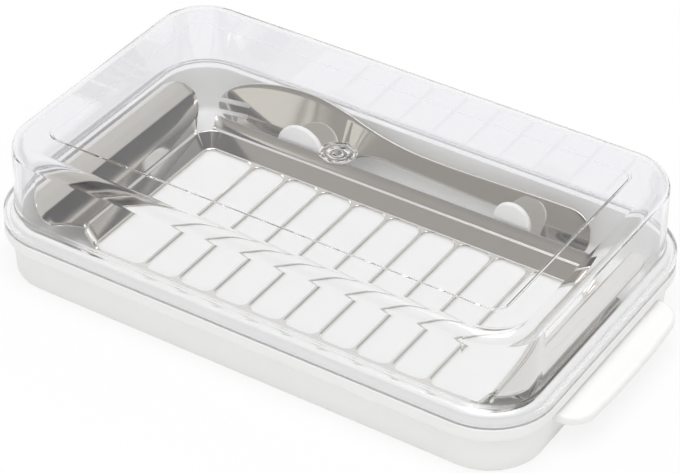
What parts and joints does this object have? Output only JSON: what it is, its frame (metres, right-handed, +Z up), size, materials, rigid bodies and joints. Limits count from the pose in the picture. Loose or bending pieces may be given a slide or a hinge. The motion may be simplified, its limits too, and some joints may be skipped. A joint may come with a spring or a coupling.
{
  "type": "butter dish",
  "caption": "Long rounded white tray with an end tab, a clear lift-off lid, a pressed steel slicing grid with flanged ends and a butter knife lying in a side trough.",
  "frame": {"origin": "centre of the ring foot's outline, on the table", "axes": "+X along the dish towards the carrying tab, +Y towards the knife's trough, +Z up"},
  "size_m": [0.1938, 0.111, 0.0472],
  "materials": {
    "base": "satin white",
    "lid": "clear",
    "cutter": "polished stainless",
    "knife": "polished stainless"
  },
  "bodies": {
    "base": {"base": "base"},
    "lid": {"lid": "lid"},
    "cutter": {"cutter": "cutter"},
    "knife": {"knife": "knife"}
  },
  "joints": [
    {"name": "lid_lift", "type": "slide", "parent": "base", "child": "lid", "axis": [0, 0, 1], "range_m": [0, 0.15]},
    {"name": "cutter_lift", "type": "slide", "parent": "base", "child": "cutter", "axis": [0, 0, 1], "range_m": [0, 0.075]},
    {"name": "knife_lift", "type": "slide", "parent": "base", "child": "knife", "axis": [0, 0, 1], "range_m": [0, 0.099]}
  ],
  "couplings": [
    {"joint": "cutter_lift", "follows": "lid_lift", "ratio": 0.5},
    {"joint": "knife_lift", "follows": "lid_lift", "ratio": 0.66}
  ]
}
